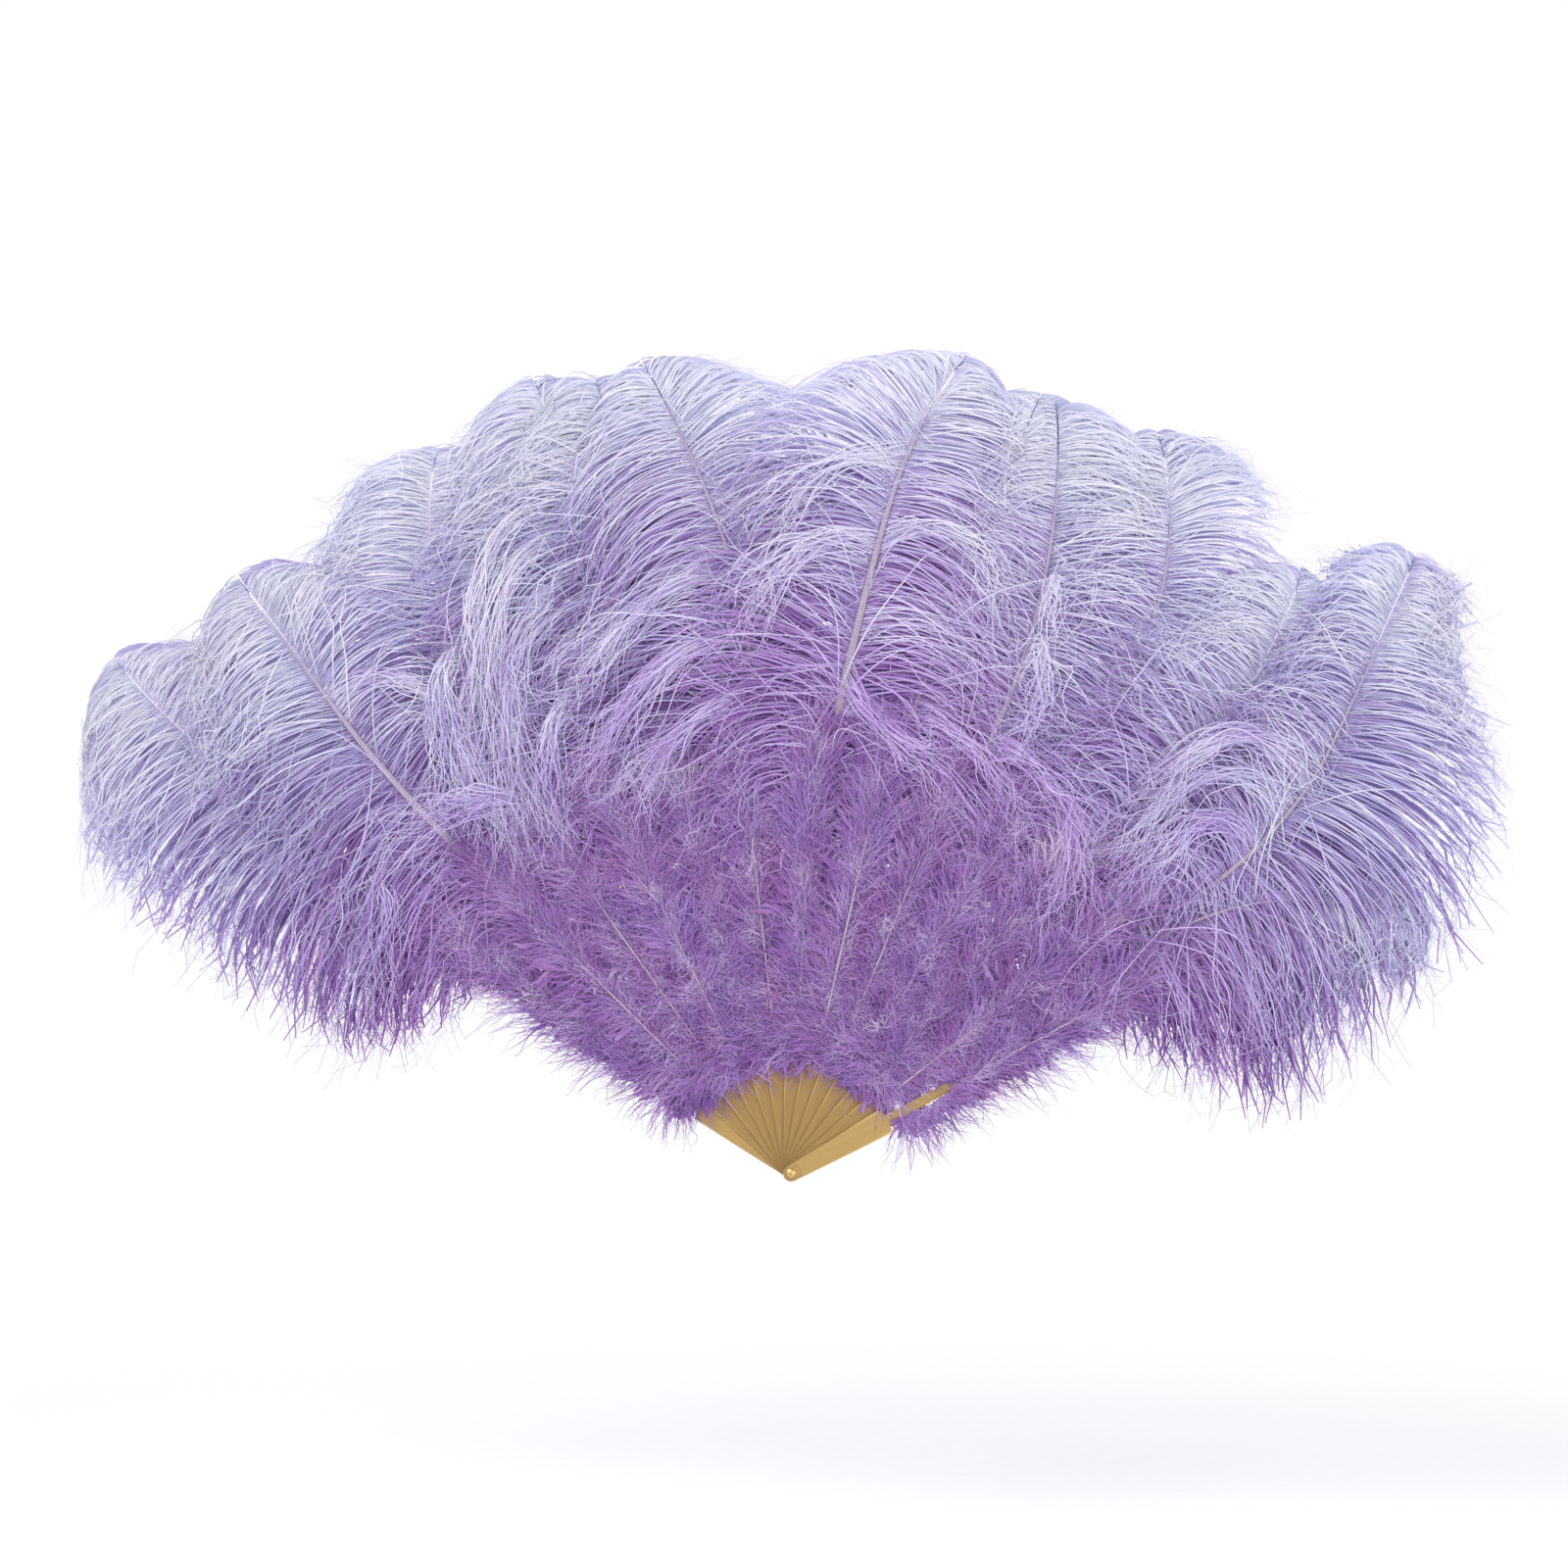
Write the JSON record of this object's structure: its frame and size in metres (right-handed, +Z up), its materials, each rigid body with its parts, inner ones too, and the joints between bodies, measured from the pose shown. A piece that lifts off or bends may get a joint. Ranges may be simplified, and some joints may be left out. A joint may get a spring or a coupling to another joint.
{
  "type": "folding feather fan",
  "caption": "Large folding hand fan, held open: flat sticks on one rivet carry short fluffy feathers at the root and long drooping plumes beyond, dyed lilac, with gold-coloured guards.",
  "frame": {"origin": "on the rivet's axis, halfway through the stack of sticks", "axes": "+Z up with the fan held open, +X to the right seen from the front, +Y away from the viewer along the rivet's axis"},
  "size_m": [1.05, 0.1547, 0.6235],
  "materials": {
    "plume": "dyed ostrich-type plume, soft and matt, paler at the tips",
    "fluff": "dyed marabou-type down, soft and matt, deeper violet",
    "stick": "moulded, gold-coloured, soft sheen",
    "guard": "moulded, lighter gold-coloured, soft sheen",
    "thread": "twisted sewing thread",
    "rivet": "turned, bright"
  },
  "bodies": {
    "body_01": {"guard_back": "guard", "fluff_feather_01": "fluff", "plume_01": "plume", "link_thread_01": "thread", "rivet_pin": "rivet", "rivet_washer_back": "rivet", "rivet_washer_front": "rivet"},
    "body_02": {"stick_02": "stick", "fluff_feather_02": "fluff", "plume_02": "plume", "link_thread_02": "thread"},
    "body_03": {"stick_03": "stick", "fluff_feather_03": "fluff", "plume_03": "plume", "link_thread_03": "thread"},
    "body_04": {"stick_04": "stick", "fluff_feather_04": "fluff", "plume_04": "plume", "link_thread_04": "thread"},
    "body_05": {"stick_05": "stick", "fluff_feather_05": "fluff", "plume_05": "plume", "link_thread_05": "thread"},
    "body_06": {"stick_06": "stick", "fluff_feather_06": "fluff", "plume_06": "plume", "link_thread_06": "thread"},
    "body_07": {"stick_07": "stick", "fluff_feather_07": "fluff", "plume_07": "plume", "link_thread_07": "thread"},
    "body_08": {"stick_08": "stick", "fluff_feather_08": "fluff", "plume_08": "plume", "link_thread_08": "thread"},
    "body_09": {"stick_09": "stick", "fluff_feather_09": "fluff", "plume_09": "plume", "link_thread_09": "thread"},
    "body_10": {"stick_10": "stick", "fluff_feather_10": "fluff", "plume_10": "plume", "link_thread_10": "thread"},
    "body_11": {"stick_11": "stick", "fluff_feather_11": "fluff", "plume_11": "plume", "link_thread_11": "thread"},
    "body_12": {"stick_12": "stick", "fluff_feather_12": "fluff", "plume_12": "plume", "link_thread_12": "thread"},
    "body_13": {"guard_front": "guard", "fluff_feather_13": "fluff", "plume_13": "plume"}
  },
  "joints": [
    {"name": "front_guard_turn", "type": "hinge", "parent": "body_01", "child": "body_13", "pos_m": [0, 0, 0], "axis": [0, -1, 0], "range_deg": [0, 116], "deforming": ["link_thread_12"]},
    {"name": "stick_02_turn", "type": "hinge", "parent": "body_01", "child": "body_02", "pos_m": [0, 0, 0], "axis": [0, -1, 0], "range_deg": [0, 9.68], "deforming": ["link_thread_01"]},
    {"name": "stick_03_turn", "type": "hinge", "parent": "body_01", "child": "body_03", "pos_m": [0, 0, 0], "axis": [0, -1, 0], "range_deg": [0, 19.35], "deforming": ["link_thread_02"]},
    {"name": "stick_04_turn", "type": "hinge", "parent": "body_01", "child": "body_04", "pos_m": [0, 0, 0], "axis": [0, -1, 0], "range_deg": [0, 29.01], "deforming": ["link_thread_03"]},
    {"name": "stick_05_turn", "type": "hinge", "parent": "body_01", "child": "body_05", "pos_m": [0, 0, 0], "axis": [0, -1, 0], "range_deg": [0, 38.68], "deforming": ["link_thread_04"]},
    {"name": "stick_06_turn", "type": "hinge", "parent": "body_01", "child": "body_06", "pos_m": [0, 0, 0], "axis": [0, -1, 0], "range_deg": [0, 48.35], "deforming": ["link_thread_05"]},
    {"name": "stick_07_turn", "type": "hinge", "parent": "body_01", "child": "body_07", "pos_m": [0, 0, 0], "axis": [0, -1, 0], "range_deg": [0, 58.01], "deforming": ["link_thread_06"]},
    {"name": "stick_08_turn", "type": "hinge", "parent": "body_01", "child": "body_08", "pos_m": [0, 0, 0], "axis": [0, -1, 0], "range_deg": [0, 67.68], "deforming": ["link_thread_07"]},
    {"name": "stick_09_turn", "type": "hinge", "parent": "body_01", "child": "body_09", "pos_m": [0, 0, 0], "axis": [0, -1, 0], "range_deg": [0, 77.35], "deforming": ["link_thread_08"]},
    {"name": "stick_10_turn", "type": "hinge", "parent": "body_01", "child": "body_10", "pos_m": [0, 0, 0], "axis": [0, -1, 0], "range_deg": [0, 87.01], "deforming": ["link_thread_09"]},
    {"name": "stick_11_turn", "type": "hinge", "parent": "body_01", "child": "body_11", "pos_m": [0, 0, 0], "axis": [0, -1, 0], "range_deg": [0, 96.68], "deforming": ["link_thread_10"]},
    {"name": "stick_12_turn", "type": "hinge", "parent": "body_01", "child": "body_12", "pos_m": [0, 0, 0], "axis": [0, -1, 0], "range_deg": [0, 106.35], "deforming": ["link_thread_11"]}
  ],
  "couplings": [
    {"joint": "stick_02_turn", "follows": "front_guard_turn", "ratio": 0.083333},
    {"joint": "stick_03_turn", "follows": "front_guard_turn", "ratio": 0.16667},
    {"joint": "stick_04_turn", "follows": "front_guard_turn", "ratio": 0.25},
    {"joint": "stick_05_turn", "follows": "front_guard_turn", "ratio": 0.33333},
    {"joint": "stick_06_turn", "follows": "front_guard_turn", "ratio": 0.41667},
    {"joint": "stick_07_turn", "follows": "front_guard_turn", "ratio": 0.5},
    {"joint": "stick_08_turn", "follows": "front_guard_turn", "ratio": 0.58333},
    {"joint": "stick_09_turn", "follows": "front_guard_turn", "ratio": 0.66667},
    {"joint": "stick_10_turn", "follows": "front_guard_turn", "ratio": 0.75},
    {"joint": "stick_11_turn", "follows": "front_guard_turn", "ratio": 0.83333},
    {"joint": "stick_12_turn", "follows": "front_guard_turn", "ratio": 0.91667}
  ]
}
